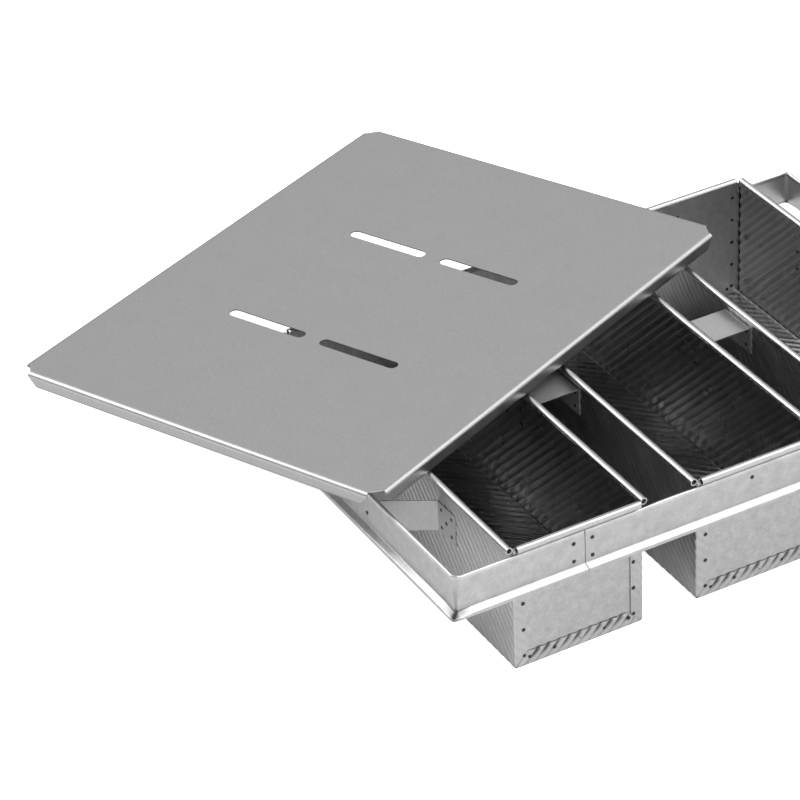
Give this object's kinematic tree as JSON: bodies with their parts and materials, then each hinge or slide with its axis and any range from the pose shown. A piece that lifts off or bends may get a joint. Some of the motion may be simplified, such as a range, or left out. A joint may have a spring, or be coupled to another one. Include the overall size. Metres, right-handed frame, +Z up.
{
  "type": "strapped pullman loaf pan set",
  "caption": "Deep straight-sided loaf pans riveted side by side in one strap, with a loose flat cover with turned-down edges resting askew on the rims.",
  "frame": {"origin": "middle of the middle pan's underside, on the surface the pans stand on", "axes": "+X along the row of pans towards the third pan, +Y along the pans towards their rear ends, +Z up"},
  "size_m": [0.6336, 0.5599, 0.1195],
  "materials": {
    "pan_sheet": "satin",
    "end_sheet": "satin",
    "strap_sheet": "satin",
    "bracket_sheet": "satin",
    "cover_sheet": "satin",
    "rivets": "satin",
    "wire": "satin"
  },
  "bodies": {
    "pan_set": {"pan_1_body": "pan_sheet", "pan_1_front_end": "end_sheet", "pan_1_rear_end": "end_sheet", "pan_1_rim_wires": "wire", "pan_1_seam_rivets": "rivets", "pan_2_body": "pan_sheet", "pan_2_front_end": "end_sheet", "pan_2_rear_end": "end_sheet", "pan_2_rim_wires": "wire", "pan_2_seam_rivets": "rivets", "pan_3_body": "pan_sheet", "pan_3_front_end": "end_sheet", "pan_3_rear_end": "end_sheet", "pan_3_rim_wires": "wire", "pan_3_seam_rivets": "rivets", "strap_band": "strap_sheet", "strap_splice_plate": "strap_sheet", "strap_splice_rivets": "rivets", "strap_pan_rivets": "rivets", "inner_spacer_left": "bracket_sheet", "inner_spacer_right": "bracket_sheet", "inner_spacer_rivets": "rivets", "outer_bracket_left_front": "bracket_sheet", "outer_bracket_left_rear": "bracket_sheet", "outer_bracket_right_front": "bracket_sheet", "outer_bracket_right_rear": "bracket_sheet", "outer_bracket_rivets": "rivets"},
    "cover": {"cover": "cover_sheet"}
  },
  "joints": [
    {"name": "cover_lift", "type": "slide", "parent": "pan_set", "child": "cover", "axis": [0, 0, 1], "range_m": [0, 0.15]}
  ]
}
